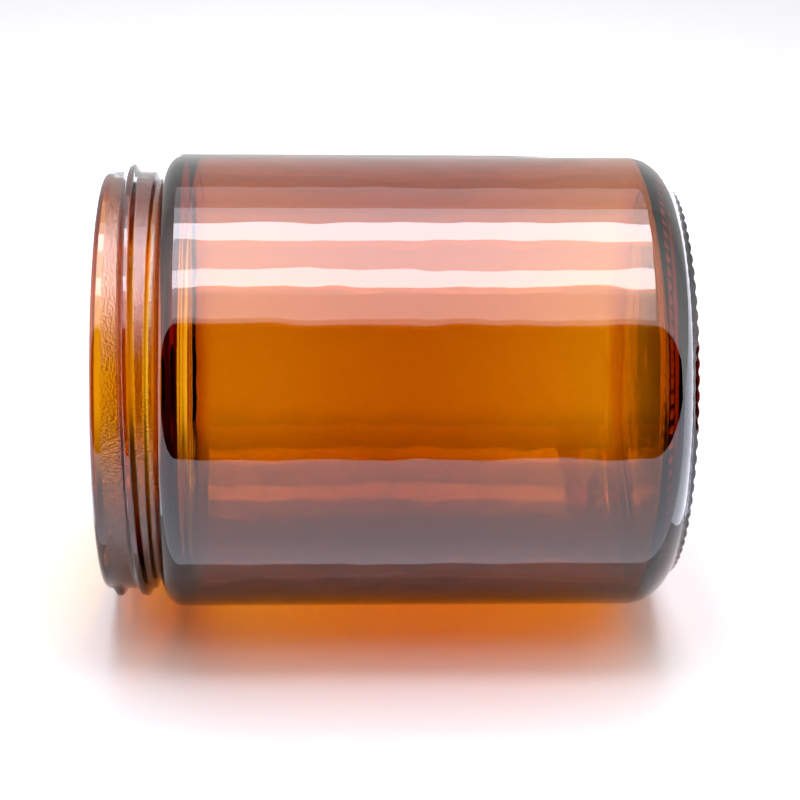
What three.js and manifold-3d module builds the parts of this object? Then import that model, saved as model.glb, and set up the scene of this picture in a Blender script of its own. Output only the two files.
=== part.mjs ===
// Empty candle jar: one moulded piece of amber glass with a straight side, a continuous
// screw thread for a lid, a thick base and a knurled foot ring. Millimetres, +Z up.
// The jar lies on its side on the plane z = 0. Its axis runs along X, with the mouth
// towards -X, and the origin is on the plane under the middle of the jar.

import * as THREE from "three";
import { mergeVertices } from "three/addons/utils/BufferGeometryUtils.js";
import Module from "manifold-3d";

// ---- Driving dimensions (mm) ------------------------------------------------------

// Whole jar
const TOTAL_HEIGHT = 90.4;      // foot ring face to rim
const BODY_DIAMETER = 72.6;     // outside of the straight side
const SIDE_WALL = 2.4;          // glass thickness of the straight side
const BASE_THICKNESS = 4.3;     // glass thickness at the middle of the base
const FLOOR_CROWN = 1.5;        // how far the inside floor rises from its edge to its middle
const SHOULDER_RADIUS = 3.2;    // outside round between side and neck
const HEEL_RADIUS = 6.8;        // outside round between side and base
const INNER_HEEL_WIDTH = 5.9;   // inside round between side and floor, across the jar
const INNER_HEEL_HEIGHT = 2.9;  // the same round, along the jar

// Screw neck
const NECK_SETBACK = 2.85;      // outside of the straight side in to the outside of the neck
const NECK_WALL = 3.1;          // glass thickness of the neck
const NECK_GROOVE_DEPTH = 1.2;  // groove between neck and shoulder, below the neck wall
const NECK_GROOVE_WIDTH = 1.3;  // length of that groove along the axis
const NECK_LAND = 0.1;          // neck wall left between the thread and the groove
const LIP_RADIUS = 0.9;         // outside edge of the rim
const LIP_INNER_RADIUS = 0.7;   // inside edge of the rim
const BORE_RUN = 1.5;           // how far the bore runs on below the top of the shoulder
const INNER_SHOULDER_DEPTH = 7.4;  // top of the shoulder to the straight inside
const INNER_SHOULDER_RADIUS = 7.2; // inside round between the step and the straight inside
const INNER_SHOULDER_TURN = 34; // degrees of that round

// Thread bead
const THREAD_PITCH = 4.23;      // six turns to the inch
const THREAD_DEPTH = 1.2;       // bead height over the neck
const THREAD_ROOT_WIDTH = 2.5;  // bead width where it meets the neck
const THREAD_CREST_WIDTH = 1.0; // bead width at its top
const THREAD_START = 2.1;       // rim to the middle of the bead where it starts
const THREAD_TURNS = 1.1;       // how far the bead runs round the neck
const THREAD_RUN_OUT = 22;      // degrees over which each end of the bead fades out
const THREAD_START_ANGLE = 222; // degrees from the top of the lying jar to the start

// Foot
const FOOT_RING_SETBACK = 4.9;  // outside of the straight side in to the ring face
const FOOT_RING_WIDTH = 3.8;    // width of the flat face that the upright jar stands on
const FOOT_RING_HEIGHT = 1.0;   // step from the heel to the ring face
const FOOT_RING_DRAFT = 0.4;    // how far the ring's side leans in over its height
const PUSH_UP = 1.3;            // hollow of the base inside the ring
const PUSH_UP_SLOPE = 2.2;      // width of the slope from the ring into that hollow

// Facets
const FACETS = 64;        // flat faces round the jar, a multiple of 4
const ARC_STEPS = 5;      // straight steps in a rounded edge
const THREAD_EMBED = 0.6; // how far the bead reaches into the neck wall

// ---- Worked out from them ---------------------------------------------------------

const bodyRadius = BODY_DIAMETER / 2;
const neckRadius = bodyRadius - NECK_SETBACK;
const boreRadius = neckRadius - NECK_WALL;
const cavityRadius = bodyRadius - SIDE_WALL;
const grooveRadius = neckRadius - NECK_GROOVE_DEPTH;
const threadEnd = THREAD_START + THREAD_PITCH * THREAD_TURNS + THREAD_ROOT_WIDTH / 2;
const neckHeight = threadEnd + NECK_LAND + NECK_GROOVE_WIDTH;
const shoulderTop = TOTAL_HEIGHT - neckHeight;
const shoulderEdge = bodyRadius - SHOULDER_RADIUS;
const floorHeight = PUSH_UP + BASE_THICKNESS;
const footRadius = bodyRadius - FOOT_RING_SETBACK;
const footInner = footRadius - FOOT_RING_WIDTH;
const floorEdge = floorHeight - FLOOR_CROWN;
const floorEdgeRadius = cavityRadius - INNER_HEEL_WIDTH;

// The facets touch the round surface from outside, so flat-to-flat sizes are the jar's.
const facetScale = 1 / Math.cos(Math.PI / FACETS);
const facetAngle = 360 / FACETS;

// Points on a round edge, angles in degrees, 0 pointing outwards and 90 towards the rim.
// An edge that is longer across the jar than along it has a sizeAlong of its own.
function arc(radius, height, size, fromAngle, toAngle, steps = ARC_STEPS, sizeAlong = size) {
  const points = [];
  for (let i = 0; i <= steps; i += 1) {
    const angle = THREE.MathUtils.degToRad(fromAngle + (toAngle - fromAngle) * (i / steps));
    points.push([radius + size * Math.cos(angle), height + sizeAlong * Math.sin(angle)]);
  }
  return points;
}

// Where the outside round of the heel meets the foot ring, as an angle below outwards.
function heelEndAngle() {
  const reach = footRadius + FOOT_RING_DRAFT - (bodyRadius - HEEL_RADIUS);
  return -THREE.MathUtils.radToDeg(Math.acos(THREE.MathUtils.clamp(reach / HEEL_RADIUS, 0, 1)));
}

// Outline of the wall as [radius, height above the foot], anticlockwise from the
// middle of the underside, up the outside, over the rim and down to the inside floor.
function wallOutline() {
  const heelEnd = heelEndAngle();
  const heelSink = HEEL_RADIUS * Math.sin(THREE.MathUtils.degToRad(-heelEnd));
  return [
    [0, PUSH_UP],
    [footInner - PUSH_UP_SLOPE, PUSH_UP],
    [footInner, 0],
    [footRadius, 0],
    ...arc(bodyRadius - HEEL_RADIUS, FOOT_RING_HEIGHT + heelSink, HEEL_RADIUS, heelEnd, 0),
    ...arc(shoulderEdge, shoulderTop - SHOULDER_RADIUS, SHOULDER_RADIUS, 0, 90),
    [grooveRadius, shoulderTop],
    [grooveRadius, shoulderTop + NECK_GROOVE_WIDTH * 0.75],
    [neckRadius, shoulderTop + NECK_GROOVE_WIDTH],
    ...arc(neckRadius - LIP_RADIUS, TOTAL_HEIGHT - LIP_RADIUS, LIP_RADIUS, 0, 90, 3),
    ...arc(boreRadius + LIP_INNER_RADIUS, TOTAL_HEIGHT - LIP_INNER_RADIUS, LIP_INNER_RADIUS, 90, 180, 2),
    [boreRadius, shoulderTop - BORE_RUN],
    ...arc(cavityRadius - INNER_SHOULDER_RADIUS, shoulderTop - INNER_SHOULDER_DEPTH,
      INNER_SHOULDER_RADIUS, INNER_SHOULDER_TURN, 0, 3),
    ...arc(floorEdgeRadius, floorEdge + INNER_HEEL_HEIGHT, INNER_HEEL_WIDTH, 0, -90, ARC_STEPS,
      INNER_HEEL_HEIGHT),
    [floorEdgeRadius / 2, floorHeight - FLOOR_CROWN / 4], // half way in, on a parabola
    [0, floorHeight],
  ];
}

// The turned wall, with the axis along Y and a flat facet towards +Z, -Z, +X and -X.
function wallGeometry() {
  const profile = wallOutline().map(
    ([radius, height]) => new THREE.Vector2(radius * facetScale, height),
  );
  return new THREE.LatheGeometry(profile, FACETS, Math.PI / FACETS);
}

// Half the bead's width at a given height over the neck wall, on its straight flanks.
function threadHalfWidth(overWall) {
  const flank = (THREAD_ROOT_WIDTH - THREAD_CREST_WIDTH) / (2 * THREAD_DEPTH);
  return THREAD_ROOT_WIDTH / 2 - flank * overWall;
}

// The thread bead: a low trapezium swept down a right-handed helix from its start near
// the rim. Both ends dive into the neck wall.
function threadGeometry() {
  const steps = Math.round(FACETS * THREAD_TURNS);
  const firstEdge = (Math.round(THREAD_START_ANGLE / facetAngle - 0.5) + 0.5) * facetAngle;
  const positions = [];
  const indices = [];
  for (let i = 0; i <= steps; i += 1) {
    const turned = i * facetAngle;
    const fromEnd = Math.min(i, steps - i) * facetAngle;
    const rise = THREE.MathUtils.smoothstep(fromEnd, 0, THREAD_RUN_OUT);
    const crest = THREE.MathUtils.lerp(-THREAD_EMBED / 2, THREAD_DEPTH, rise);
    const angle = THREE.MathUtils.degToRad(firstEdge - turned);
    const height = TOTAL_HEIGHT - THREAD_START - THREAD_PITCH * (turned / 360);
    const section = [
      [-THREAD_EMBED, -threadHalfWidth(-THREAD_EMBED)],
      [crest, -threadHalfWidth(crest)],
      [crest, threadHalfWidth(crest)],
      [-THREAD_EMBED, threadHalfWidth(-THREAD_EMBED)],
    ];
    for (const [overWall, y] of section) {
      const radius = (neckRadius + overWall) * facetScale;
      positions.push(radius * Math.sin(angle), height + y, radius * Math.cos(angle));
    }
  }
  const corners = 4;
  for (let i = 0; i < steps; i += 1) {
    for (let j = 0; j < corners; j += 1) {
      const a = i * corners + j;
      const b = i * corners + ((j + 1) % corners);
      indices.push(a, b, a + corners);
      indices.push(b, b + corners, a + corners);
    }
  }
  const last = steps * corners;
  indices.push(0, 2, 1, 0, 3, 2);
  indices.push(last, last + 1, last + 2, last, last + 2, last + 3);
  const geometry = new THREE.BufferGeometry();
  geometry.setAttribute("position", new THREE.Float32BufferAttribute(positions, 3));
  geometry.setIndex(indices);
  return geometry;
}

// ---- Boolean help -----------------------------------------------------------------

const wasm = await Module();
wasm.setup();

function toManifold(geometry) {
  const bare = geometry.clone();
  bare.deleteAttribute("normal");
  bare.deleteAttribute("uv");
  const merged = mergeVertices(bare, 1e-4);
  return new wasm.Manifold(new wasm.Mesh({
    numProp: 3,
    vertProperties: new Float32Array(merged.attributes.position.array),
    triVerts: new Uint32Array(merged.index.array),
  }));
}

function toGeometry(manifold) {
  const mesh = manifold.getMesh();
  const geometry = new THREE.BufferGeometry();
  geometry.setAttribute("position", new THREE.BufferAttribute(new Float32Array(mesh.vertProperties), 3));
  geometry.setIndex(new THREE.BufferAttribute(new Uint32Array(mesh.triVerts), 1));
  geometry.computeVertexNormals();
  return geometry;
}

// ---- The jar ----------------------------------------------------------------------

const amberGlass = new THREE.MeshStandardMaterial({
  color: "#b4600c",
  roughness: 0.05,
  metalness: 0,
});

const jar = new THREE.Mesh(
  toGeometry(toManifold(wallGeometry()).add(toManifold(threadGeometry()))),
  amberGlass,
);
jar.name = "glass_jar";

// Lay the upright jar down: its axis turns from +Y to -X, and its side rests on z = 0.
const lyingJar = new THREE.Group();
lyingJar.add(jar);
lyingJar.rotation.z = Math.PI / 2;
lyingJar.position.set(TOTAL_HEIGHT / 2, 0, bodyRadius);

const candleJar = new THREE.Group();
candleJar.add(lyingJar);

export default candleJar;
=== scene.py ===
"""An empty candle jar of moulded amber glass, lying on its side on a pale table.

The jar is one piece of glass. Its wall is a turned outline, and one geometry tree sweeps
that outline round the jar's axis and raises the screw thread, the mould seams and the
foot ring's ribs on it. Lengths are millimetres in the classes and metres in the scene.
"""

import logging
import math
from dataclasses import dataclass
from enum import Enum

import bmesh
import bpy
from mathutils import Matrix, Vector


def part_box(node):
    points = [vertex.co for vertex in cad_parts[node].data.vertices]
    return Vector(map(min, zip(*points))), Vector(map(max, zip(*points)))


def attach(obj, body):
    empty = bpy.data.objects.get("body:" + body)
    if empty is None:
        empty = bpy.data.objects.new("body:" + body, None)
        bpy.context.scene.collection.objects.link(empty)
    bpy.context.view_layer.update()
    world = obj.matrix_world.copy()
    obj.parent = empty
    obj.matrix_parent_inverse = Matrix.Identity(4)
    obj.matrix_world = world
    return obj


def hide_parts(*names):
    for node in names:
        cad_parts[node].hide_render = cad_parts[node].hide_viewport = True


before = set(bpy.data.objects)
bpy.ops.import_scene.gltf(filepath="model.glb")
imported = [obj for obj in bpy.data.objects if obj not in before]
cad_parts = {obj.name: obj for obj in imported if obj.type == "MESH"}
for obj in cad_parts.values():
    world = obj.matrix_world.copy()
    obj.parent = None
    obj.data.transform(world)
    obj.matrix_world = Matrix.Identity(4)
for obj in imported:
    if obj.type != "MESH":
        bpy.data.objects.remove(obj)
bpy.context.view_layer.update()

LOG = logging.getLogger("candle_jar")
MM = 0.001
CM3 = 1e-6
WELD = 1e-6  # points nearer than this, in metres, are one point
NOT_ZERO = 0.001  # keeps a division away from zero
MATH = "ShaderNodeMath"
MAP_RANGE = "ShaderNodeMapRange"
CAD_NODE = "glass_jar"
BODY = "root"

Point = tuple[float, float]
Socket = bpy.types.NodeSocket
Tree = bpy.types.NodeTree


# ---- Helpers


def linear(hex_colour: str) -> tuple[float, float, float, float]:
    """Turn an sRGB hex colour into linear light.

    Args:
        hex_colour: six hex digits after a hash, such as "#C06010".

    Returns:
        Linear red, green and blue, and an alpha of 1.
    """
    channels = []
    for start in (1, 3, 5):
        value = int(hex_colour[start:start + 2], 16) / 255
        channels.append(value / 12.92 if value <= 0.04045 else ((value + 0.055) / 1.055) ** 2.4)
    return (*channels, 1.0)


def add_node(
    tree: Tree,
    kind: str,
    inputs: dict[int | str, object] | None = None,
    out: int | str = 0,
    **settings: object,
) -> Socket:
    """Add a node, set it up and link it.

    Args:
        tree: the node tree that gets the node.
        kind: the node's type name.
        inputs: a value or an output socket for each input, by index or name.
        out: the output to give back, by index or name.
        settings: properties set on the node itself.

    Returns:
        The chosen output socket, or the node's first input if it has no outputs.
    """
    node = tree.nodes.new(kind)
    for name, value in settings.items():
        setattr(node, name, value)
    for key, value in (inputs or {}).items():
        socket = node.inputs[key]
        if isinstance(value, Socket):
            tree.links.new(value, socket)
        else:
            socket.default_value = value
    return node.outputs[out] if node.outputs else node.inputs[0]


def empty_tree(owner: bpy.types.Material | bpy.types.World) -> Tree:
    """Give the empty node tree of a material or world, with its nodes turned on."""
    owner.use_nodes = True
    owner.node_tree.nodes.clear()
    return owner.node_tree


def rectangle(name: str, low: Point, high: Point, level: float) -> bpy.types.Mesh:
    """Make a flat rectangle.

    Args:
        name: the mesh's name.
        low: X and Y of its left front corner, in millimetres.
        high: X and Y of its right back corner.
        level: its height over the table.

    Returns:
        The mesh, one face that looks up.
    """
    left, front, right, back = [value * MM for value in (*low, *high)]
    corners = [(left, front), (right, front), (right, back), (left, back)]
    mesh = bpy.data.meshes.new(name)
    mesh.from_pydata([(x, y, level * MM) for x, y in corners], [], [(0, 1, 2, 3)])
    return mesh


def put_in_scene(name: str, data: bpy.types.ID) -> bpy.types.Object:
    """Make an object of a mesh, light or camera, and link it to the scene."""
    obj = bpy.data.objects.new(name, data)
    bpy.context.scene.collection.objects.link(obj)
    return obj


# ---- Finish


@dataclass(frozen=True)
class AmberGlass:
    """Soda-lime container glass, coloured amber in the melt and blown in an iron mould.

    The colour is in the glass, so thin places look yellow and deep ones red-brown. The
    mould leaves a faint orange-peel ripple, which is strongest on the neck, where the
    glass was pressed.

    Attributes:
        passes: colour of light that a thin pane still passes.
        density: how fast the glass takes off the rest, per metre.
        ior: refractive index of soda-lime glass.
        roughness: fire-polished surface.
        ripple_mm: width of a slow ripple.
        ripple_depth_mm: height of that ripple.
        skin_mm: grain of the neck's leathery skin.
        skin_depth_mm: height of that grain.
        skin_start_mm: rim to the start of the skin.
        skin_fade_mm: length over which the skin fades in and out along the neck.
        skin_edge_mm: the same across the wall.
        bead_clear_mm: height over the neck wall where the thread's side has no skin left.
    """

    passes: str = "#F4E000"
    density: float = 2000.0
    ior: float = 1.52
    roughness: float = 0.0
    ripple_mm: float = 9.0
    ripple_depth_mm: float = 0.12
    skin_mm: float = 0.34
    skin_depth_mm: float = 0.1
    skin_start_mm: float = 1.6
    skin_fade_mm: float = 0.3
    skin_edge_mm: float = 0.1
    bead_clear_mm: float = 0.25

    def skin_mask(self, tree: Tree, jar: "GlassJar") -> Socket:
        """Nodes that pick out the neck wall's outside, off the lip and off the thread.

        Args:
            tree: the material's tree.
            jar: the jar whose neck it is.

        Returns:
            1 on that wall and 0 elsewhere.
        """
        place = add_node(tree, "ShaderNodeTexCoord", out="Object")
        x, y, z = [add_node(tree, "ShaderNodeSeparateXYZ", {0: place}, out=a) for a in "XYZ"]
        rise = add_node(tree, MATH, {0: z, 1: jar.body_radius * MM}, operation="SUBTRACT")
        spoke = add_node(tree, "ShaderNodeCombineXYZ", {"Y": y, "Z": rise})
        radius = add_node(
            tree, "ShaderNodeVectorMath", {0: spoke}, out="Value", operation="LENGTH"
        )
        rim = -jar.length_mm / 2
        start = rim + self.skin_start_mm
        end = rim + jar.neck_height
        middle = (jar.neck_radius + jar.bore_radius) / 2
        limits = (
            (x, start, start + self.skin_fade_mm),
            (x, end, end - self.skin_fade_mm),
            (radius, middle, middle + self.skin_edge_mm),
            (radius, jar.neck_radius + self.bead_clear_mm, jar.neck_radius + self.skin_edge_mm),
        )
        mask = 1.0
        for where, outside, inside in limits:
            part = add_node(tree, MAP_RANGE, {0: where, 1: outside * MM, 2: inside * MM})
            mask = add_node(tree, MATH, {0: part, 1: mask}, operation="MULTIPLY")
        return mask

    def material(self, jar: "GlassJar") -> bpy.types.Material:
        """Build the glass material.

        Args:
            jar: the jar that it covers.

        Returns:
            The finished material.
        """
        material = bpy.data.materials.new("moulded_amber_glass")
        tree = empty_tree(material)
        place = add_node(tree, "ShaderNodeTexCoord", out="Object")
        # Slow ripples bend the lights' reflections a little along the side.
        ripple = add_node(
            tree, "ShaderNodeTexNoise",
            {"Vector": place, "Scale": 1 / (self.ripple_mm * MM), "Detail": 1.0},
        )
        ripple_height = add_node(
            tree, MATH, {0: ripple, 1: self.ripple_depth_mm * MM}, operation="MULTIPLY"
        )
        # Leathery skin breaks up what is seen through the neck wall into flecks.
        skin = add_node(
            tree, "ShaderNodeTexNoise",
            {"Vector": place, "Scale": 1 / (self.skin_mm * MM), "Detail": 2.0},
        )
        centred = add_node(tree, MATH, {0: skin, 1: 0.5}, operation="SUBTRACT")
        skin_height = add_node(
            tree, MATH, {0: centred, 1: self.skin_depth_mm * MM}, operation="MULTIPLY"
        )
        neck_skin = add_node(
            tree, MATH, {0: skin_height, 1: self.skin_mask(tree, jar)}, operation="MULTIPLY"
        )
        height = add_node(tree, MATH, {0: ripple_height, 1: neck_skin}, operation="ADD")
        normal = add_node(
            tree, "ShaderNodeBump", {"Strength": 1.0, "Distance": 1.0, "Height": height}
        )
        surface = add_node(
            tree, "ShaderNodeBsdfPrincipled",
            {
                "Base Color": linear("#FFFFFF"),
                "Roughness": self.roughness,
                "IOR": self.ior,
                "Transmission Weight": 1.0,
                "Normal": normal,
            },
        )
        depth = add_node(
            tree, "ShaderNodeVolumeAbsorption",
            {"Color": linear(self.passes), "Density": self.density},
        )
        add_node(tree, "ShaderNodeOutputMaterial", {"Surface": surface, "Volume": depth})
        return material


# ---- The jar


class Hand(Enum):
    """Which way a screw thread turns: the sign of its angle, going down from the rim."""

    RIGHT = 1.0
    LEFT = -1.0


@dataclass(frozen=True)
class WallPoint:
    """Any point of the swept wall, as sockets of the geometry tree.

    Attributes:
        tree: the geometry tree.
        size: the tree's named inputs.
        radius: the point's distance from the jar's axis.
        height: its height above the foot.
        angle: its angle round the axis.
    """

    tree: Tree
    size: bpy.types.NodeOutputs
    radius: Socket
    height: Socket
    angle: Socket


@dataclass
class GlassJar:
    """The whole jar: wall, screw neck, heel, base and foot ring, in millimetres.

    An inset is taken in from the inside of the straight side, and its depth down from the
    top of the shoulder. Angles are in degrees.

    Attributes:
        length_mm: foot ring face to rim.
        body_mm: outside diameter of the straight side.
        side_wall, base_thickness, neck_wall: glass thickness under the shoulder, at the
            middle of the base and in the neck.
        floor_crown: rise of the inside floor from its edge to its middle.
        shoulder_round, heel_round, lip_round, lip_inner_round: rounded edges.
        inner_heel_width, inner_heel_height: inside round of the heel, across and along.
        bore_start, bore_run: straight bore above and below the top of the shoulder.
        step_inset, step_depth: the inside step under the shoulder.
        bend_inset, bend_depth: the bend under that step.
        fade_inset, fade_depth: where the bend has nearly met the straight inside.
        side_depth: where it has met it.
        thick_middle, thin_foot: glass gained half way down the side and lost at its foot.
        neck_setback, ring_setback: outside of the side in to the neck and the foot ring.
        groove_depth, groove_width, groove_lead: groove between neck and shoulder, and the
            flat that leads into it.
        groove_foot_round, groove_top_round: its two inner corners.
        groove_slope: length of its slope up to the neck, and that edge's round.
        neck_lead: neck wall kept plain above that edge.
        thread_pitch, thread_depth: one turn's distance and the bead's height.
        thread_root, thread_crest: its width at the neck and at its top.
        thread_start, thread_start_angle: its start, from the rim and from the jar's top.
        thread_turns, thread_run_in, thread_run_out: its length and fading ends, in turns.
        thread_hand: which way it turns.
        neck_land: neck wall left between the thread and the groove.
        ring_width, ring_height, ring_draft: the foot ring's face, its step from the heel,
            and how far its side leans in.
        ring_round, ring_inner_round: its outside and inside edges.
        heel_clear: how far short of the heel its side ends.
        push_up, push_up_slope: hollow of the base, and the width of the slope into it.
        push_up_bend, push_up_dome: round where that slope ends, and more hollow inside it.
        ribs, rib_depth: ribs round the ring, and the cut between two.
        rib_flank: cosine where a rib's flank starts. It ends at minus that.
        seam_angle, seam_height, seam_width: the mould seams' place and ridge.
        inner_wave, inner_wave_mm: height and width of slow waves on the inside.
        inner_wave_fade: length over which they fade at the heel and the shoulder.
        columns: steps round the jar.
        thread_rows_mm, base_step, body_step: longest step along neck, ring face and side.
        floor_steps, heel_steps, side_steps, shoulder_steps, lip_steps, lip_inner_steps,
            ring_steps: straight steps in those parts.
    """

    length_mm: float
    body_mm: float
    side_wall: float = 2.25
    base_thickness: float = 4.3
    floor_crown: float = 1.5
    floor_steps: int = 8
    shoulder_round: float = 3.2
    heel_round: float = 6.8
    inner_heel_width: float = 5.9
    inner_heel_height: float = 2.9
    heel_steps: int = 16
    bore_start: float = 2.0
    bore_run: float = 1.5
    step_inset: float = 1.25
    step_depth: float = 3.4
    bend_inset: float = 0.8
    bend_depth: float = 4.2
    fade_inset: float = 0.2
    fade_depth: float = 5.2
    side_depth: float = 7.4
    thick_middle: float = 0.55
    thin_foot: float = 0.3
    side_steps: int = 20
    neck_setback: float = 2.85
    neck_wall: float = 3.1
    groove_depth: float = 1.2
    groove_width: float = 1.3
    groove_lead: float = 0.5
    groove_foot_round: float = 0.35
    groove_top_round: float = 0.4
    groove_slope: float = 0.3
    neck_lead: float = 0.6
    lip_round: float = 0.9
    lip_inner_round: float = 0.7
    thread_pitch: float = 4.23
    thread_depth: float = 1.2
    thread_root: float = 2.5
    thread_crest: float = 0.5
    thread_start: float = 2.1
    thread_turns: float = 1.1
    thread_run_in: float = 0.03
    thread_run_out: float = 0.07
    thread_start_angle: float = 222.0
    thread_hand: Hand = Hand.RIGHT
    neck_land: float = 0.1
    ring_setback: float = 4.9
    ring_width: float = 3.8
    ring_height: float = 1.0
    ring_draft: float = 0.4
    ring_round: float = 0.35
    ring_inner_round: float = 0.5
    heel_clear: float = 0.15
    push_up: float = 1.3
    push_up_slope: float = 2.2
    push_up_bend: float = 2.0
    push_up_dome: float = 0.6
    base_step: float = 0.5
    ribs: int = 80
    rib_depth: float = 0.22
    rib_flank: float = 0.5
    seam_angle: float = -18.0
    seam_height: float = 0.06
    seam_width: float = 0.5
    inner_wave: float = 0.07
    inner_wave_mm: float = 26.0
    inner_wave_fade: float = 8.0
    columns: int = 400
    thread_rows_mm: float = 0.12
    body_step: float = 12.0
    shoulder_steps: int = 12
    lip_steps: int = 7
    lip_inner_steps: int = 6
    ring_steps: int = 4

    @property
    def body_radius(self) -> float:
        """Outside radius of the straight side."""
        return self.body_mm / 2

    @property
    def neck_radius(self) -> float:
        """Outside radius of the neck between the threads."""
        return self.body_radius - self.neck_setback

    @property
    def bore_radius(self) -> float:
        """Inside radius of the neck."""
        return self.neck_radius - self.neck_wall

    @property
    def cavity_radius(self) -> float:
        """Inside radius of the straight side."""
        return self.body_radius - self.side_wall

    @property
    def ring_radius(self) -> float:
        """Outside radius of the foot ring's face."""
        return self.body_radius - self.ring_setback

    @property
    def neck_height(self) -> float:
        """Rim to the start of the shoulder."""
        thread_end = self.thread_start + self.thread_pitch * self.thread_turns
        return thread_end + self.thread_root / 2 + self.neck_land + self.groove_width

    @property
    def shoulder_top(self) -> float:
        """Height above the foot where the shoulder meets the neck groove."""
        return self.length_mm - self.neck_height

    def arc(
        self, radius: float, height: float, size: float, start: float, end: float, steps: int
    ) -> list[Point]:
        """Points on a rounded edge.

        Args:
            radius: the arc centre's distance from the jar's axis.
            height: the arc centre's height above the foot.
            size: the arc's own radius.
            start: first angle in degrees, 0 outwards and 90 towards the rim.
            end: last angle.
            steps: straight steps along the arc.

        Returns:
            Radius and height of each point.
        """
        points = []
        for i in range(steps + 1):
            angle = math.radians(start + (end - start) * i / steps)
            points.append((radius + size * math.cos(angle), height + size * math.sin(angle)))
        return points

    def run(self, start: Point, end: Point, step: float) -> list[Point]:
        """Points along a straight run, both ends included.

        Args:
            start: radius and height of the first point.
            end: radius and height of the last point.
            step: largest distance between two points.

        Returns:
            Radius and height of each point.
        """
        count = max(1, math.ceil(math.dist(start, end) / step))
        return [
            tuple(a + (b - a) * i / count for a, b in zip(start, end)) for i in range(count + 1)
        ]

    def rounded(self, corners: list[tuple[float, float, float]], steps: int = 5) -> list[Point]:
        """Round off the inner corners of a short outline.

        Args:
            corners: radius, height and the rounding's radius at each corner.
            steps: straight steps in each rounding.

        Returns:
            Radius and height of each point.
        """
        points = [corners[0][:2]]
        for before, here, after in zip(corners, corners[1:], corners[2:]):
            corner = Vector(here[:2])
            back = (Vector(before[:2]) - corner).normalized()
            forth = (Vector(after[:2]) - corner).normalized()
            half = back.angle(forth) / 2
            reach = here[2] / math.tan(half)
            centre = corner + (back + forth).normalized() * (here[2] / math.sin(half))
            start = corner + back * reach - centre
            turn = start.angle_signed(corner + forth * reach - centre)
            for i in range(steps + 1):
                spoke = start.copy()
                spoke.rotate(Matrix.Rotation(-turn * i / steps, 2))
                points.append(tuple(centre + spoke))
        points.append(corners[-1][:2])
        return points

    def smooth(self, knots: list[Point], steps: int = 6) -> list[Point]:
        """Points on a smooth curve through some knots, a Catmull-Rom spline.

        Args:
            knots: radius and height of each knot.
            steps: straight steps between two knots.

        Returns:
            Radius and height of each point.
        """
        ends = [knots[0], *knots, knots[-1]]
        points = []
        for one, two, three, four in zip(ends, ends[1:], ends[2:], ends[3:]):
            a, b, c, d = Vector(one), Vector(two), Vector(three), Vector(four)
            for i in range(steps):
                t = i / steps
                line = 2 * b + (c - a) * t
                bend = (2 * a - 5 * b + 4 * c - d) * t * t + (3 * b - a - 3 * c + d) * t ** 3
                points.append(tuple((line + bend) / 2))
        return [*points, knots[-1]]

    def inside_wall(self, top: float, bottom: float) -> list[Point]:
        """The inside of the straight side, whose glass is thickest half way down.

        Args:
            top: height where the side starts under the shoulder.
            bottom: height where the inside heel starts.

        Returns:
            Radius and height of each point.
        """
        points = []
        for i in range(1, self.side_steps + 1):
            share = i / self.side_steps
            thicker = self.thick_middle * math.sin(math.pi * share) ** 2
            radius = self.cavity_radius + self.thin_foot * share - thicker
            points.append((radius, top + (bottom - top) * share))
        return points

    def outline(self) -> list[Point]:
        """The wall's outline as radius and height above the foot.

        Returns:
            Points from the middle of the underside, up the outside, over the rim and
            down to the middle of the inside floor.
        """
        body, inside = self.body_radius, self.cavity_radius
        neck, bore = self.neck_radius, self.bore_radius
        top = self.shoulder_top
        ring_inner = self.ring_radius - self.ring_width
        heel_start = self.ring_radius + self.ring_draft
        heel_centre = body - self.heel_round
        heel_angle = math.degrees(math.acos((heel_start - heel_centre) / self.heel_round))
        heel_sink = self.heel_round * math.sin(math.radians(heel_angle))
        heel_top = self.ring_height + heel_sink
        shoulder_base = top - self.shoulder_round
        groove = neck - self.groove_depth
        neck_start = top + self.groove_width
        lip = self.length_mm - self.lip_round
        lip_inner = self.length_mm - self.lip_inner_round
        points = self.rounded([
            (0.0, self.push_up + self.push_up_dome, 0),
            (ring_inner - self.push_up_slope, self.push_up, self.push_up_bend),
            (ring_inner, 0.0, self.ring_inner_round),
            (self.ring_radius - self.ring_width / 2, 0.0, 0),
        ])[:-1]
        ring_edge = self.ring_radius - self.ring_round
        points += self.run(points[-1], (ring_edge, 0.0), self.base_step)[1:]
        points += self.arc(ring_edge, self.ring_round, self.ring_round, -90, 0, self.ring_steps)[1:]
        points += [(heel_start - self.heel_clear, self.ring_height - self.heel_clear)]
        points += self.arc(heel_centre, heel_top, self.heel_round, -heel_angle, 0, self.heel_steps)
        points += self.run((body, heel_top), (body, shoulder_base), self.body_step)[1:]
        points += self.arc(
            body - self.shoulder_round, shoulder_base,
            self.shoulder_round, 0, 90, self.shoulder_steps,
        )[1:]
        points += self.rounded([
            (groove + self.groove_lead, top, 0),
            (groove, top, self.groove_foot_round),
            (groove, neck_start - self.groove_slope, self.groove_top_round),
            (neck, neck_start, self.groove_slope),
            (neck, neck_start + self.neck_lead, 0),
        ])
        points += self.run(points[-1], (neck, lip), self.thread_rows_mm)[1:]
        points += self.arc(neck - self.lip_round, lip, self.lip_round, 0, 90, self.lip_steps)[1:]
        points += self.arc(
            bore + self.lip_inner_round, lip_inner,
            self.lip_inner_round, 90, 180, self.lip_inner_steps,
        )
        points += self.smooth([
            (bore, top + self.bore_start),
            (bore, top - self.bore_run),
            (inside - self.step_inset, top - self.step_depth),
            (inside - self.bend_inset, top - self.bend_depth),
            (inside - self.fade_inset, top - self.fade_depth),
            (inside, top - self.side_depth),
        ])
        floor = self.push_up + self.base_thickness
        floor_edge = floor - self.floor_crown
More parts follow.
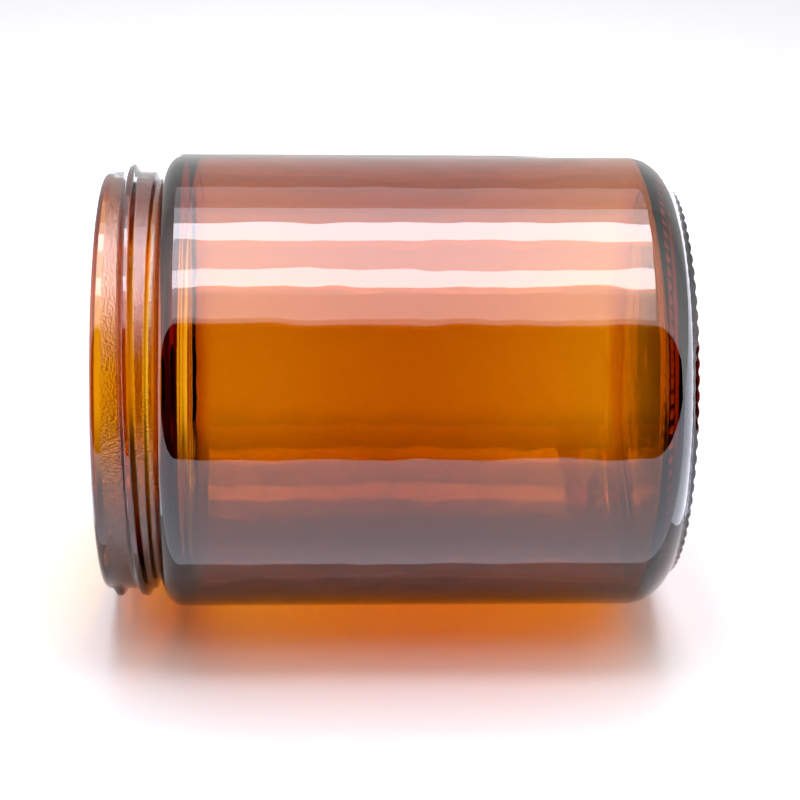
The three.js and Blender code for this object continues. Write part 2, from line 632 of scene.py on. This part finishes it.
        points += self.inside_wall(points[-1][1], floor_edge + self.inner_heel_height)
        corner = inside + self.thin_foot - self.inner_heel_width
        for i in range(1, self.heel_steps + 1):
            turn = math.pi / 2 * i / self.heel_steps
            points.append((
                corner + self.inner_heel_width * math.cos(turn),
                floor_edge + self.inner_heel_height * (1 - math.sin(turn)),
            ))
        for i in range(1, self.floor_steps + 1):
            out = 1 - i / self.floor_steps
            points.append((corner * out, floor - self.floor_crown * out ** 2))
        return points

    def outline_mesh(self) -> bpy.types.Mesh:
        """The outline as a row of points: X is the radius and Z the height, in metres."""
        mesh = bpy.data.meshes.new("jar_outline")
        points = [(radius * MM, 0.0, height * MM) for radius, height in self.outline()]
        mesh.from_pydata(points, [(i, i + 1) for i in range(len(points) - 1)], [])
        return mesh

    def tree_inputs(self) -> dict[str, float]:
        """The tree's named sizes, in metres and radians or as plain counts."""
        return {
            "Columns": self.columns,
            "Axis height": self.body_radius * MM,
            "Foot position": self.length_mm / 2 * MM,
            "Length": self.length_mm * MM,
            "Neck middle radius": (self.neck_radius + self.bore_radius) / 2 * MM,
            "Thread pitch": self.thread_pitch * MM,
            "Thread depth": self.thread_depth * MM,
            "Thread root": self.thread_root / 2 * MM,
            "Thread crest": self.thread_crest / 2 * MM,
            "Thread start": self.thread_start * MM,
            "Thread turns": self.thread_turns,
            "Thread run-in": self.thread_run_in,
            "Thread run-out": self.thread_run_out,
            "Thread start angle": math.radians(self.thread_start_angle),
            "Thread hand": self.thread_hand.value,
            "Ribs": self.ribs,
            "Rib depth": self.rib_depth * MM,
            "Rib flank": self.rib_flank,
            "Ring inner radius": (self.ring_radius - self.ring_width) * MM,
            "Ring height": self.ring_height * MM,
            "Seam angle": math.radians(self.seam_angle),
            "Seam height": self.seam_height * MM,
            "Seam half width": self.seam_width / 2 * MM,
            "Wall middle radius": (self.body_radius + self.cavity_radius) / 2 * MM,
            "Inner wave": self.inner_wave * MM,
            "Inner wave size": self.inner_wave_mm * MM,
            "Inner wave fade": self.inner_wave_fade * MM,
            "Shoulder height": (self.shoulder_top - self.shoulder_round) * MM,
            "Floor height": (self.push_up + self.base_thickness + self.inner_heel_height) * MM,
        }

    def wall_tree(self) -> Tree:
        """Build the geometry tree that sweeps the outline and raises its details.

        Returns:
            The tree, whose inputs are the outline, each size by name, and the material.
        """
        tree = bpy.data.node_groups.new("blown_glass_wall", "GeometryNodeTree")
        face = tree.interface
        face.new_socket("Geometry", in_out="INPUT", socket_type="NodeSocketGeometry")
        for name, value in self.tree_inputs().items():
            kind = "NodeSocketInt" if isinstance(value, int) else "NodeSocketFloat"
            face.new_socket(name, in_out="INPUT", socket_type=kind)
        face.new_socket("Material", in_out="INPUT", socket_type="NodeSocketMaterial")
        face.new_socket("Geometry", in_out="OUTPUT", socket_type="NodeSocketGeometry")
        size = tree.nodes.new("NodeGroupInput").outputs

        # A grid with one row for each point of the outline and a column for each step round.
        rows = add_node(tree, "GeometryNodeAttributeDomainSize", {0: size["Geometry"]})
        across = add_node(
            tree, "FunctionNodeIntegerMath", {0: size["Columns"], 1: 1}, operation="ADD"
        )
        grid = add_node(tree, "GeometryNodeMeshGrid", {"Vertices X": across, "Vertices Y": rows})
        index = add_node(tree, "GeometryNodeInputIndex")
        row = add_node(tree, "FunctionNodeIntegerMath", {0: index, 1: rows}, operation="MODULO")
        column = add_node(
            tree, "FunctionNodeIntegerMath", {0: index, 1: rows}, operation="DIVIDE_FLOOR"
        )
        outline_point = add_node(
            tree, "GeometryNodeSampleIndex",
            {0: size["Geometry"], 1: add_node(tree, "GeometryNodeInputPosition"), 2: row},
            data_type="FLOAT_VECTOR", domain="POINT",
        )
        radius = add_node(tree, "ShaderNodeSeparateXYZ", {0: outline_point}, out="X")
        height = add_node(tree, "ShaderNodeSeparateXYZ", {0: outline_point}, out="Z")
        share = add_node(tree, MATH, {0: column, 1: size["Columns"]}, operation="DIVIDE")
        angle = add_node(tree, MATH, {0: share, 1: math.tau}, operation="MULTIPLY")

        # Its details, then its place on the lying jar.
        point = WallPoint(tree, size, radius, height, angle)
        ribs = self.rib_nodes(point)
        for raised in (self.thread_nodes(point), self.seam_nodes(point), self.wave_nodes(point)):
            radius = add_node(tree, MATH, {0: radius, 1: raised}, operation="ADD")
        height = add_node(tree, MATH, {0: height, 1: ribs}, operation="ADD")
        x = add_node(tree, MATH, {0: size["Foot position"], 1: height}, operation="SUBTRACT")
        y, rise = self.spoke_nodes(tree, radius, angle)
        z = add_node(tree, MATH, {0: rise, 1: size["Axis height"]}, operation="ADD")
        place = add_node(tree, "ShaderNodeCombineXYZ", {"X": x, "Y": y, "Z": z})
        wall = add_node(tree, "GeometryNodeSetPosition", {"Geometry": grid, "Position": place})
        closed = add_node(
            tree, "GeometryNodeMergeByDistance", {"Geometry": wall, "Distance": WELD}
        )
        smooth = add_node(tree, "GeometryNodeSetShadeSmooth", {"Geometry": closed})
        real = add_node(tree, "GeometryNodeRealizeInstances", {0: smooth})
        glazed = add_node(
            tree, "GeometryNodeSetMaterial", {"Geometry": real, "Material": size["Material"]}
        )
        add_node(tree, "NodeGroupOutput", {0: glazed})
        return tree

    def spoke_nodes(self, tree: Tree, radius: Socket, angle: Socket) -> list[Socket]:
        """Nodes for the two parts of a radius that stands at an angle round the axis.

        Args:
            tree: the geometry tree.
            radius: the distance from the axis.
            angle: the angle round it, from upwards.

        Returns:
            Its sideways part and its upward part.
        """
        turns = [add_node(tree, MATH, {0: angle}, operation=name) for name in ("SINE", "COSINE")]
        return [add_node(tree, MATH, {0: radius, 1: turn}, operation="MULTIPLY") for turn in turns]

    def thread_nodes(self, point: WallPoint) -> Socket:
        """Nodes for the thread: how far its bead stands over the neck at a point.

        Args:
            point: the point of the wall.

        Returns:
            The bead's height in metres, 0 away from it.
        """
        tree, size = point.tree, point.size
        from_rim = add_node(tree, MATH, {0: size["Length"], 1: point.height}, operation="SUBTRACT")
        back = add_node(
            tree, MATH, {0: size["Thread start angle"], 1: point.angle}, operation="SUBTRACT"
        )
        # Turns run on from the start of the bead; a point is on the first turn or the next.
        onward = add_node(tree, MATH, {0: back, 1: size["Thread hand"]}, operation="MULTIPLY")
        turned = add_node(tree, MATH, {0: onward, 1: math.tau}, operation="DIVIDE")
        first = add_node(tree, MATH, {0: turned}, operation="FRACT")
        fade_end = add_node(
            tree, MATH, {0: size["Thread turns"], 1: size["Thread run-out"]}, operation="SUBTRACT"
        )
        beads = []
        for turns_before in (0.0, 1.0):
            turns = add_node(tree, MATH, {0: first, 1: turns_before}, operation="ADD")
            middle = add_node(
                tree, MATH,
                {0: turns, 1: size["Thread pitch"], 2: size["Thread start"]},
                operation="MULTIPLY_ADD",
            )
            off = add_node(tree, MATH, {0: from_rim, 1: middle}, operation="SUBTRACT")
            away = add_node(tree, MATH, {0: off}, operation="ABSOLUTE")
            limits = (
                (away, size["Thread root"], size["Thread crest"]),
                (turns, 0.0, size["Thread run-in"]),
                (turns, size["Thread turns"], fade_end),
            )
            section, begins, ends = [
                add_node(
                    tree, MAP_RANGE, {0: where, 1: flat, 2: full}, interpolation_type="SMOOTHSTEP"
                )
                for where, flat, full in limits
            ]
            shown = add_node(tree, MATH, {0: begins, 1: ends}, operation="MULTIPLY")
            beads.append(add_node(tree, MATH, {0: section, 1: shown}, operation="MULTIPLY"))
        bead = add_node(tree, MATH, {0: beads[0], 1: beads[1]}, operation="MAXIMUM")
        outside = add_node(
            tree, MATH, {0: point.radius, 1: size["Neck middle radius"]}, operation="GREATER_THAN"
        )
        tall = add_node(tree, MATH, {0: bead, 1: size["Thread depth"]}, operation="MULTIPLY")
        return add_node(tree, MATH, {0: tall, 1: outside}, operation="MULTIPLY")

    def rib_nodes(self, point: WallPoint) -> Socket:
        """Nodes for the ribs: how far the foot ring is cut back between them at a point.

        Args:
            point: the point of the wall.

        Returns:
            The cut's depth in metres, 0 on a rib and away from the ring.
        """
        tree, size = point.tree, point.size
        wave = add_node(tree, MATH, {0: point.angle, 1: size["Ribs"]}, operation="MULTIPLY")
        crest = add_node(tree, MATH, {0: wave}, operation="COSINE")
        far_flank = add_node(tree, MATH, {0: size["Rib flank"], 1: -1.0}, operation="MULTIPLY")
        cut = add_node(
            tree, MAP_RANGE, {0: crest, 1: size["Rib flank"], 2: far_flank},
            interpolation_type="SMOOTHSTEP",
        )
        on_ring = add_node(
            tree, MATH, {0: point.radius, 1: size["Ring inner radius"]}, operation="GREATER_THAN"
        )
        low = add_node(tree, MAP_RANGE, {0: point.height, 1: size["Ring height"], 2: 0.0})
        part = add_node(tree, MATH, {0: on_ring, 1: low}, operation="MULTIPLY")
        deep = add_node(tree, MATH, {0: cut, 1: size["Rib depth"]}, operation="MULTIPLY")
        return add_node(tree, MATH, {0: deep, 1: part}, operation="MULTIPLY")

    def seam_nodes(self, point: WallPoint) -> Socket:
        """Nodes for the two mould seams down the outside of the body.

        Args:
            point: the point of the wall.

        Returns:
            The seam's height in metres, 0 away from it.
        """
        tree, size = point.tree, point.size
        from_seam = add_node(
            tree, MATH, {0: point.angle, 1: size["Seam angle"]}, operation="SUBTRACT"
        )
        side = add_node(tree, MATH, {0: from_seam}, operation="SINE")
        across = add_node(tree, MATH, {0: side, 1: point.radius}, operation="MULTIPLY")
        away = add_node(tree, MATH, {0: across}, operation="ABSOLUTE")
        ridge = add_node(
            tree, MAP_RANGE,
            {0: away, 1: size["Seam half width"], 2: 0.0, 3: 0.0, 4: size["Seam height"]},
        )
        outside = add_node(
            tree, MATH, {0: point.radius, 1: size["Wall middle radius"]}, operation="GREATER_THAN"
        )
        return add_node(tree, MATH, {0: ridge, 1: outside}, operation="MULTIPLY")

    def wave_nodes(self, point: WallPoint) -> Socket:
        """Nodes for the slow waves that blowing leaves on the inside wall.

        Args:
            point: the point of the wall.

        Returns:
            How far the wall moves out in metres, 0 on the outside.
        """
        tree, size = point.tree, point.size
        y, z = self.spoke_nodes(tree, point.radius, point.angle)
        place = add_node(tree, "ShaderNodeCombineXYZ", {"X": point.height, "Y": y, "Z": z})
        fineness = add_node(tree, MATH, {0: 1.0, 1: size["Inner wave size"]}, operation="DIVIDE")
        noise = add_node(
            tree, "ShaderNodeTexNoise", {"Vector": place, "Scale": fineness, "Detail": 1.0}
        )
        # The noise runs from 0 to 1, so it is centred and doubled.
        centred = add_node(tree, MATH, {0: noise, 1: 0.5}, operation="SUBTRACT")
        moved = add_node(tree, MATH, {0: centred, 1: size["Inner wave"]}, operation="MULTIPLY")
        twice = add_node(tree, MATH, {0: moved, 1: 2.0}, operation="MULTIPLY")
        over_floor = add_node(
            tree, MATH, {0: point.height, 1: size["Floor height"]}, operation="SUBTRACT"
        )
        under_neck = add_node(
            tree, MATH, {0: size["Shoulder height"], 1: point.height}, operation="SUBTRACT"
        )
        middle = add_node(tree, MATH, {0: over_floor, 1: under_neck}, operation="MINIMUM")
        ramp = add_node(tree, MAP_RANGE, {0: middle, 1: 0.0, 2: size["Inner wave fade"]})
        inside = add_node(
            tree, MATH, {0: point.radius, 1: size["Wall middle radius"]}, operation="LESS_THAN"
        )
        part = add_node(tree, MATH, {0: ramp, 1: inside}, operation="MULTIPLY")
        return add_node(tree, MATH, {0: twice, 1: part}, operation="MULTIPLY")

    def build(self, material: bpy.types.Material) -> bpy.types.Object:
        """Make the jar as one closed mesh.

        Args:
            material: the glass.

        Returns:
            The piece, at the origin.
        """
        pattern = put_in_scene("jar_pattern", self.outline_mesh())
        tree = self.wall_tree()
        modifier = pattern.modifiers.new("sweep", "NODES")
        modifier.node_group = tree
        values = {**self.tree_inputs(), "Material": material}
        for item in tree.interface.items_tree:
            if item.in_out == "INPUT" and item.name in values:
                modifier[item.identifier] = values[item.name]
        evaluated = pattern.evaluated_get(bpy.context.evaluated_depsgraph_get())
        mesh = bpy.data.meshes.new_from_object(evaluated)
        bpy.data.objects.remove(pattern)
        mesh.name = "amber_glass_jar"
        self.turn_outwards(mesh)
        return put_in_scene("amber_glass_jar", mesh)

    def turn_outwards(self, mesh: bpy.types.Mesh) -> None:
        """Make every face look outwards.

        Args:
            mesh: the jar's mesh.
        """
        shell = bmesh.new()
        shell.from_mesh(mesh)
        if shell.calc_volume(signed=True) < 0:
            bmesh.ops.reverse_faces(shell, faces=shell.faces)
        loose = sum(1 for edge in shell.edges if len(edge.link_faces) != 2)
        triangles = sum(len(face.verts) - 2 for face in shell.faces)
        volume = shell.calc_volume() / CM3
        LOG.info("glass: %.1f cm3, %d open edges, %d triangles", volume, loose, triangles)
        shell.to_mesh(mesh)
        shell.free()

    def dress(self, finish: AmberGlass) -> bpy.types.Object:
        """Build the jar in its glass and tie it to the frame.

        Args:
            finish: the glass.

        Returns:
            The finished piece.
        """
        piece = self.build(finish.material(self))
        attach(piece, BODY)
        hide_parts(CAD_NODE)
        return piece


# ---- Stage


@dataclass
class Table:
    """A plain pale table top under the jar, with painted shade near it as seen through the glass.

    Attributes:
        reach: how far it goes to each side and to the front, in millimetres.
        back: how far it goes behind the jar.
        colour: its matt white.
        shade: painted shade, the dark grey the table takes near the jar in rays through the glass.
        shade_from: distance from the jar's axis where that painted shade begins.
        shade_full: distance where it is deepest.
        gap: clearance that keeps the glass off it.
    """

    reach: float = 900.0
    back: float = 600.0
    colour: str = "#DDDCDB"
    shade: str = "#3C3A3A"
    shade_from: float = 62.0
    shade_full: float = 22.0
    gap: float = 0.05

    def build(self) -> bpy.types.Object:
        """Make the table top.

        Returns:
            The table top.
        """
        mesh = rectangle(
            "table_top", (-self.reach, -self.reach), (self.reach, self.back), -self.gap
        )
        material = bpy.data.materials.new("matt_white_laminate_painted_shade")
        tree = empty_tree(material)
        # Painted shade: rays that come through the glass see the table painted darker near the
        # jar's axis, in place of the jar's own shade.
        place = add_node(tree, "ShaderNodeTexCoord", out="Object")
        y = add_node(tree, "ShaderNodeSeparateXYZ", {0: place}, out="Y")
        away = add_node(tree, MATH, {0: y}, operation="ABSOLUTE")
        painted_shade_mask = add_node(
            tree, MAP_RANGE,
            {0: away, 1: self.shade_from * MM, 2: self.shade_full * MM},
            interpolation_type="SMOOTHSTEP",
        )
        through = add_node(tree, "ShaderNodeLightPath", out="Is Transmission Ray")
        part = add_node(tree, MATH, {0: painted_shade_mask, 1: through}, operation="MULTIPLY")
        white = add_node(
            tree, "ShaderNodeMix",
            {"Factor": part, 6: linear(self.colour), 7: linear(self.shade)},
            out=2, data_type="RGBA",
        )
        surface = add_node(tree, "ShaderNodeBsdfDiffuse", {"Color": white})
        add_node(tree, "ShaderNodeOutputMaterial", {"Surface": surface})
        mesh.materials.append(material)
        table = put_in_scene("table_top", mesh)
        return table


@dataclass(frozen=True)
class Panel:
    """One glowing strip of the tent's roof, in millimetres along Y from the jar's middle.

    Attributes:
        name: what it is.
        near: its front edge.
        far: its back edge.
        light: its brightness.
    """

    name: str
    near: float
    far: float
    light: float


@dataclass
class Studio:
    """A white light tent: a diffuser overhead with two tubes in it, open at the front.

    Attributes:
        walls: brightness of the white side walls.
        back: brightness of the back wall.
        mirror_walls: brightness of the side walls in mirror reflections.
        mirror_back: brightness of the back wall in mirror reflections.
        backdrop: brightness of the white behind the table, as the camera sees it.
        roof_height: diffuser above the table, in millimetres.
        roof_width: its length along the jar.
        light_colour: the cool white of the tubes.
        roof: the diffuser's strips, brightest at the tubes.
        front_slope: height over distance of the diffuser's front edge, seen from the jar.
        side_slope: half the opening's width over its distance.
        edge_soft: how softly the opening ends.
        room: brightness of the room seen through the open front.
        back_from: how far a direction points backwards where the back wall is in full.
        table_edge: distance from the jar to the tent's floor edge.
        card_near: distance from the jar to the lit part of the table.
        card_light: how bright that part is in reflections.
        side_light: how bright the table beside the jar is in reflections.
        side_start: distance from the jar's middle to that part of the table.
        side_back: how far that part goes behind the jar.
        card_level: height of the cards over the table.
        card_reach: how far the cards reach.
    """

    walls: float = 0.8
    back: float = 1.7
    mirror_walls: float = 2.6
    mirror_back: float = 1.1
    backdrop: float = 1.2
    roof_height: float = 300.0
    roof_width: float = 200.0
    light_colour: str = "#F0F2FF"
    roof: tuple[Panel, ...] = (
        Panel("roof_front", -186, -112, 2.6),
        Panel("roof_before_tube", -112, -93, 4.0),
        Panel("tube_front", -93, -50, 15.0),
        Panel("roof_middle", -50, 25, 6.5),
        Panel("tube_back", 25, 77, 15.0),
        Panel("roof_behind_tube", 77, 135, 4.4),
        Panel("roof_back", 135, 260, 1.2),
    )
    front_slope: float = 1.35
    side_slope: float = 8.0
    edge_soft: float = 0.05
    room: float = 0.006
    back_from: float = 0.5
    table_edge: float = 220.0
    card_near: float = 38.0
    card_light: float = 2.6
    side_light: float = 4.0
    side_start: float = 75.0
    side_back: float = 600.0
    card_level: float = 0.5
    card_reach: float = 1300.0

    def hang(self, panel: Panel) -> None:
        """Hang one strip of the roof, facing down.

        Args:
            panel: the strip.
        """
        lamp = bpy.data.lights.new(panel.name, "AREA")
        lamp.shape = "RECTANGLE"
        lamp.size = self.roof_width * MM
        lamp.size_y = (panel.far - panel.near) * MM
        lamp.energy = panel.light * math.pi * lamp.size * lamp.size_y
        lamp.color = linear(self.light_colour)[:3]
        holder = put_in_scene(panel.name, lamp)
        holder.location = (0.0, (panel.near + panel.far) / 2 * MM, self.roof_height * MM)
        holder.visible_camera = False

    def surround(self) -> bpy.types.World:
        """Make the tent's walls and open front, as light from far away.

        Returns:
            The world, with white walls, a dark front, and a white backdrop for the camera.
        """
        world = bpy.data.worlds.new("light_tent")
        tree = empty_tree(world)
        way = add_node(tree, "ShaderNodeTexCoord", out="Generated")
        x, y, z = [add_node(tree, "ShaderNodeSeparateXYZ", {0: way}, out=axis) for axis in "XYZ"]
        ahead = add_node(tree, MATH, {0: y, 1: -1.0}, operation="MULTIPLY")
        forward = add_node(tree, MATH, {0: ahead, 1: NOT_ZERO}, operation="MAXIMUM")
        sideways = add_node(tree, MATH, {0: x}, operation="ABSOLUTE")
        side = add_node(tree, MATH, {0: sideways, 1: forward}, operation="DIVIDE")
        slope = add_node(tree, MATH, {0: z, 1: forward}, operation="DIVIDE")
        beside = add_node(
            tree, MAP_RANGE, {0: side, 1: self.side_slope + self.edge_soft, 2: self.side_slope}
        )
        below = add_node(
            tree, MAP_RANGE, {0: slope, 1: self.front_slope + self.edge_soft, 2: self.front_slope}
        )
        corner = add_node(tree, MATH, {0: beside, 1: below}, operation="MULTIPLY")
        in_front = add_node(tree, MATH, {0: ahead, 1: 0.0}, operation="GREATER_THAN")
        opening = add_node(tree, MATH, {0: corner, 1: in_front}, operation="MULTIPLY")
        levels = ((self.walls, self.back), (self.mirror_walls, self.mirror_back))
        lit, mirrored = [
            add_node(tree, MAP_RANGE, {0: y, 1: 0.0, 2: self.back_from, 3: beside_jar, 4: behind})
            for beside_jar, behind in levels
        ]
        in_mirror = add_node(tree, "ShaderNodeLightPath", out="Is Glossy Ray")
        tent = add_node(tree, "ShaderNodeMix", {"Factor": in_mirror, "A": lit, "B": mirrored})
        bright = add_node(tree, MAP_RANGE, {0: opening, 3: tent, 4: self.room})
        seen = add_node(tree, "ShaderNodeLightPath", out="Is Camera Ray")
        strength = add_node(
            tree, "ShaderNodeMix", {"Factor": seen, "A": bright, "B": self.backdrop}
        )
        glow = add_node(
            tree, "ShaderNodeBackground", {"Color": linear("#FFFFFF"), "Strength": strength}
        )
        add_node(tree, "ShaderNodeOutputWorld", {"Surface": glow})
        return world

    def build(self) -> None:
        """Light the stage: the roof, the walls, and the cards that only mirrors see."""
        for panel in self.roof:
            self.hang(panel)
        bpy.context.scene.world = self.surround()
        far, near, edge = self.card_reach, self.card_near, self.table_edge
        start, back = self.side_start, self.side_back
        self.lay_card("front_table", (-far, -edge), (far, -near), self.card_light)
        self.lay_card("dark_room", (-far, -far), (far, -edge), self.room)
        self.lay_card("left_table", (-far, -near), (-start, back), self.side_light)
        self.lay_card("right_table", (start, -near), (far, back), self.side_light)

    def lay_card(self, name: str, low: Point, high: Point, light: float) -> None:
        """Lay a glowing card on the table beside the jar, seen only in reflections.

        Args:
            name: what it is.
            low: X and Y of its left front corner, in millimetres.
            high: X and Y of its right back corner.
            light: its brightness.
        """
        mesh = rectangle(name, low, high, self.card_level)
        material = bpy.data.materials.new(name)
        tree = empty_tree(material)
        glow = add_node(
            tree, "ShaderNodeEmission", {"Color": linear(self.light_colour), "Strength": light}
        )
        add_node(tree, "ShaderNodeOutputMaterial", {"Surface": glow})
        mesh.materials.append(material)
        card = put_in_scene(name, mesh)
        for seen_by in ("camera", "diffuse", "transmission", "shadow"):
            setattr(card, f"visible_{seen_by}", False)


@dataclass
class ViewCamera:
    """The camera, in millimetres and degrees, over the front of the lying jar.

    Attributes:
        distance: from the jar's axis.
        rise: its angle above the table, seen from the axis.
        along: its place along the jar, from the rim.
        yaw: how far it turns towards the foot.
        tilt: how far it looks below the axis.
        lens: focal length on a 36 mm wide sensor.
        clip: nearest distance that it sees.
    """

    distance: float = 350.0
    rise: float = 27.0
    along: float = 30.9
    yaw: float = 2.65
    tilt: float = 0.53
    lens: float = 97.2
    clip: float = 10.0

    def build(self, jar: GlassJar) -> bpy.types.Object:
        """Set up the camera.

        Args:
            jar: the jar that it looks at.

        Returns:
            The camera object.
        """
        rise, yaw, tilt = [math.radians(angle) for angle in (self.rise, self.yaw, self.tilt)]
        inward = Vector((0.0, math.cos(rise), -math.sin(rise)))
        upward = Vector((0.0, math.sin(rise), math.cos(rise)))
        along = Vector((1.0, 0.0, 0.0))
        ahead = (
            along * math.sin(yaw) * math.cos(tilt)
            + inward * math.cos(yaw) * math.cos(tilt)
            - upward * math.sin(tilt)
        )
        right = along * math.cos(yaw) - inward * math.sin(yaw)
        top = right.cross(ahead)
        data = bpy.data.cameras.new("camera")
        data.lens = self.lens
        data.clip_start = self.clip * MM
        camera = put_in_scene("camera", data)
        axis_point = Vector(((self.along - jar.length_mm / 2) * MM, 0.0, jar.body_radius * MM))
        matrix = Matrix((right, top, -ahead)).transposed().to_4x4()
        matrix.translation = axis_point - inward * self.distance * MM
        camera.matrix_world = matrix
        bpy.context.scene.camera = camera
        return camera


# ---- All of it


def main() -> None:
    """Build the jar, its stage and its camera, and report each."""
    logging.basicConfig(level=logging.INFO, format="%(name)s: %(message)s")
    low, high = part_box(CAD_NODE)
    jar = GlassJar(length_mm=(high.x - low.x) / MM, body_mm=(high.z - low.z) / MM)
    piece = jar.dress(AmberGlass())
    LOG.info("%s: %d faces", piece.name, len(piece.data.polygons))
    Table().build()
    LOG.info("table top laid")
    Studio().build()
    LOG.info("light tent lit")
    ViewCamera().build(jar)
    LOG.info("camera placed")
    bpy.context.scene.view_settings.view_transform = "Standard"
    bpy.context.scene.cycles.blur_glossy = 0.0


if __name__ == "__main__":
    main()
